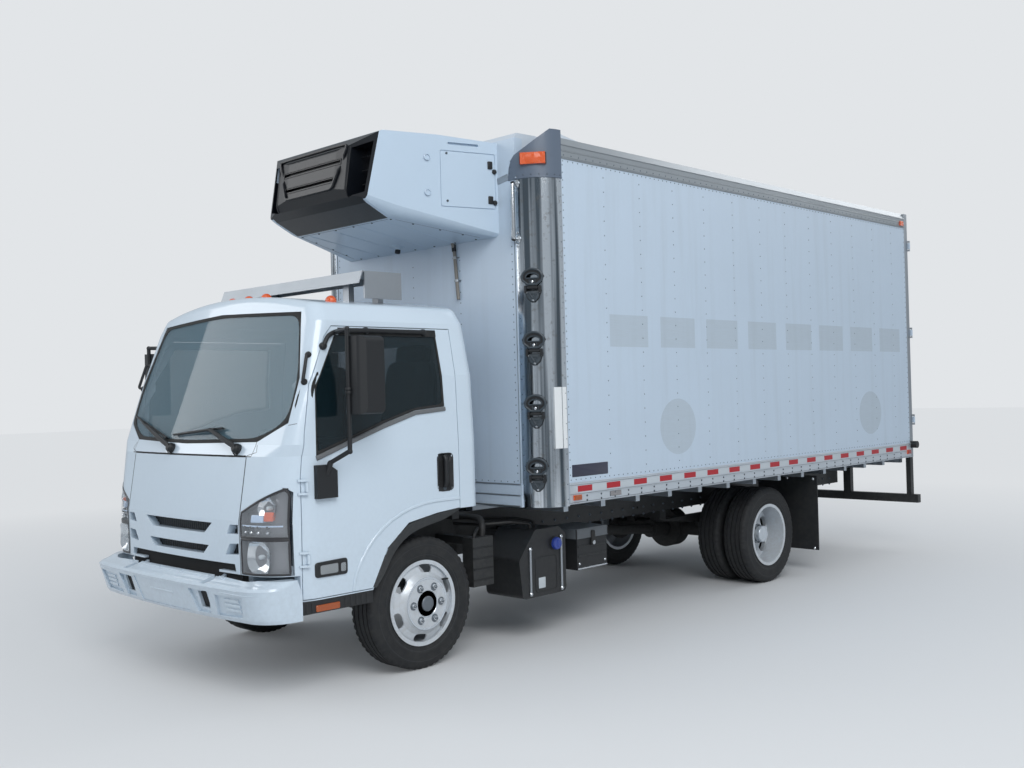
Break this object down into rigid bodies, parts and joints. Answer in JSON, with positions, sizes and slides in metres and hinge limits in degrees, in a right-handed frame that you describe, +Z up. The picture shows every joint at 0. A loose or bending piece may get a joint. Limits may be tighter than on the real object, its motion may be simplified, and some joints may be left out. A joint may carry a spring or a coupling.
{
  "type": "refrigerated truck",
  "caption": "Forward-control refrigerated truck: tilting cab with doors, steered front wheels, twin rear wheels, insulated box with rear doors, nose-mounted cooling unit and fold-down steps.",
  "frame": {"origin": "on the ground under the middle of the truck's overall length and width", "axes": "+Y towards the rear, -Y is the front, +X is the vehicle's left side, +Z up"},
  "size_m": [2.566, 7.6068, 3.4249],
  "materials": {
    "cab_paint": "gloss white paint",
    "cab_glass": "tinted safety glass",
    "lamp_clear": "clear moulded lamp lens over a bright reflector",
    "black_plastic": "grained black plastic",
    "interior_plastic": "grained grey plastic",
    "seat_cloth": "woven grey cloth",
    "amber_lens": "amber moulded lens",
    "tread_plate": "weathered tread plate",
    "chassis_paint": "satin black chassis paint",
    "cast_parts": "black-painted cast and forged iron",
    "tyre_rubber": "black tyre rubber",
    "wheel_paint": "silver-white wheel paint",
    "tank_plastic": "moulded black plastic",
    "flap_rubber": "black rubber sheet",
    "box_skin": "pre-painted white panel",
    "box_aluminium": "mill-finish aluminium extrusion",
    "post_steel": "mirror-polished stainless steel",
    "galvanised": "brushed stainless steel",
    "cap_plastic": "blue-grey moulding",
    "unit_white": "pale moulded housing",
    "unit_black": "near-black moulded grille",
    "grey_pipe": "grey-tan plastic pipe"
  },
  "bodies": {
    "chassis": {"ladder_frame": "chassis_paint", "front_axle": "cast_parts", "rear_axle": "cast_parts", "engine_block": "cast_parts", "front_bumper": "cab_paint", "fluid_tank": "tank_plastic", "battery_box": "black_plastic", "fuel_tank": "chassis_paint", "exhaust_canister": "galvanised", "mud_flaps": "flap_rubber", "rear_guard": "chassis_paint", "box_floor": "box_aluminium", "box_front_wall": "box_skin", "box_side_walls": "box_skin", "box_rails": "box_aluminium", "box_roof": "box_skin", "corner_posts": "post_steel", "corner_caps": "cap_plastic", "box_lamps": "amber_lens", "rear_frame": "galvanised", "evaporator": "unit_white", "unit_housing": "unit_white", "unit_grille": "unit_black", "drain_pipe": "grey_pipe", "step_brackets": "black_plastic"},
    "cab": {"cab_shell": "cab_paint", "front_panel": "cab_paint", "headlamps": "lamp_clear", "grille": "black_plastic", "windscreen": "cab_glass", "dashboard": "interior_plastic", "seats": "seat_cloth", "roof_walkway": "tread_plate", "roof_lamps": "amber_lens", "wipers": "black_plastic", "cab_steps": "black_plastic"},
    "door_left": {"door_left": "cab_paint", "door_glass_left": "cab_glass", "mirror_left": "black_plastic"},
    "knuckle_left": {"knuckle_left": "cast_parts"},
    "front_wheel_left": {"front_tyre_left": "tyre_rubber", "front_rim_left": "wheel_paint"},
    "rear_wheels_left": {"rear_tyres_left": "tyre_rubber", "rear_rims_left": "wheel_paint"},
    "rear_door_left": {"rear_door_left": "box_skin"},
    "door_right": {"door_right": "cab_paint", "door_glass_right": "cab_glass", "mirror_right": "black_plastic"},
    "knuckle_right": {"knuckle_right": "cast_parts"},
    "front_wheel_right": {"front_tyre_right": "tyre_rubber", "front_rim_right": "wheel_paint"},
    "rear_wheels_right": {"rear_tyres_right": "tyre_rubber", "rear_rims_right": "wheel_paint"},
    "rear_door_right": {"rear_door_right": "box_skin"},
    "steering_wheel": {"steering_wheel": "interior_plastic"},
    "tie_rod": {"tie_rod": "cast_parts"},
    "folding_step_1": {"folding_step_1": "black_plastic"},
    "folding_step_2": {"folding_step_2": "black_plastic"},
    "folding_step_3": {"folding_step_3": "black_plastic"},
    "folding_step_4": {"folding_step_4": "black_plastic"}
  },
  "joints": [
    {"name": "cab_tilt", "type": "hinge", "parent": "chassis", "child": "cab", "pos_m": [0, -3.6665, 0.59], "axis": [1, 0, 0], "range_deg": [0, 45]},
    {"name": "steering_wheel_turn", "type": "hinge", "parent": "cab", "child": "steering_wheel", "pos_m": [0.45, -3.1815, 1.322], "axis": [0, 0.7146, 0.6995], "range_deg": [-690, 690]},
    {"name": "door_left_swing", "type": "hinge", "parent": "cab", "child": "door_left", "pos_m": [1.005, -3.4215, 1], "axis": [0, 0, -1], "range_deg": [0, 75]},
    {"name": "steer_left", "type": "hinge", "parent": "chassis", "child": "knuckle_left", "pos_m": [0.77, -2.5415, 0.4055], "axis": [0, 0, 1], "range_deg": [-38, 38]},
    {"name": "front_wheel_left_spin", "type": "hinge", "parent": "knuckle_left", "child": "front_wheel_left", "pos_m": [0.833, -2.5415, 0.4055], "axis": [1, 0, 0], "continuous": true},
    {"name": "rear_wheels_left_spin", "type": "hinge", "parent": "chassis", "child": "rear_wheels_left", "pos_m": [0.823, 1.2685, 0.4055], "axis": [1, 0, 0], "continuous": true},
    {"name": "rear_door_left_swing", "type": "hinge", "parent": "chassis", "child": "rear_door_left", "pos_m": [1.234, 3.7945, 2.18], "axis": [0, 0, -1], "range_deg": [0, 270]},
    {"name": "door_right_swing", "type": "hinge", "parent": "cab", "child": "door_right", "pos_m": [-1.005, -3.4215, 1], "axis": [0, 0, 1], "range_deg": [0, 75]},
    {"name": "steer_right", "type": "hinge", "parent": "chassis", "child": "knuckle_right", "pos_m": [-0.77, -2.5415, 0.4055], "axis": [0, 0, 1], "range_deg": [-38, 38]},
    {"name": "front_wheel_right_spin", "type": "hinge", "parent": "knuckle_right", "child": "front_wheel_right", "pos_m": [-0.833, -2.5415, 0.4055], "axis": [1, 0, 0], "continuous": true},
    {"name": "rear_wheels_right_spin", "type": "hinge", "parent": "chassis", "child": "rear_wheels_right", "pos_m": [-0.823, 1.2685, 0.4055], "axis": [1, 0, 0], "continuous": true},
    {"name": "rear_door_right_swing", "type": "hinge", "parent": "chassis", "child": "rear_door_right", "pos_m": [-1.234, 3.7945, 2.18], "axis": [0, 0, 1], "range_deg": [0, 270]},
    {"name": "tie_rod_pivot", "type": "hinge", "parent": "knuckle_left", "child": "tie_rod", "pos_m": [0.77, -2.4115, 0.2915], "axis": [0, 0, 1], "range_deg": [-38, 38]},
    {"name": "folding_step_1_drop", "type": "hinge", "parent": "chassis", "child": "folding_step_1", "pos_m": [1.12618, -1.69151, 2.369], "axis": [0.8572, 0.515, 0], "range_deg": [0, 90]},
    {"name": "folding_step_2_drop", "type": "hinge", "parent": "chassis", "child": "folding_step_2", "pos_m": [1.12618, -1.69151, 1.952], "axis": [0.8572, 0.515, 0], "range_deg": [0, 90]},
    {"name": "folding_step_3_drop", "type": "hinge", "parent": "chassis", "child": "folding_step_3", "pos_m": [1.12618, -1.69151, 1.535], "axis": [0.8572, 0.515, 0], "range_deg": [0, 90]},
    {"name": "folding_step_4_drop", "type": "hinge", "parent": "chassis", "child": "folding_step_4", "pos_m": [1.12618, -1.69151, 1.118], "axis": [0.8572, 0.515, 0], "range_deg": [0, 90]}
  ],
  "couplings": [
    {"joint": "steer_right", "follows": "steer_left", "ratio": 1},
    {"joint": "tie_rod_pivot", "follows": "steer_left", "ratio": -1},
    {"joint": "steering_wheel_turn", "follows": "steer_left", "ratio": 18}
  ]
}
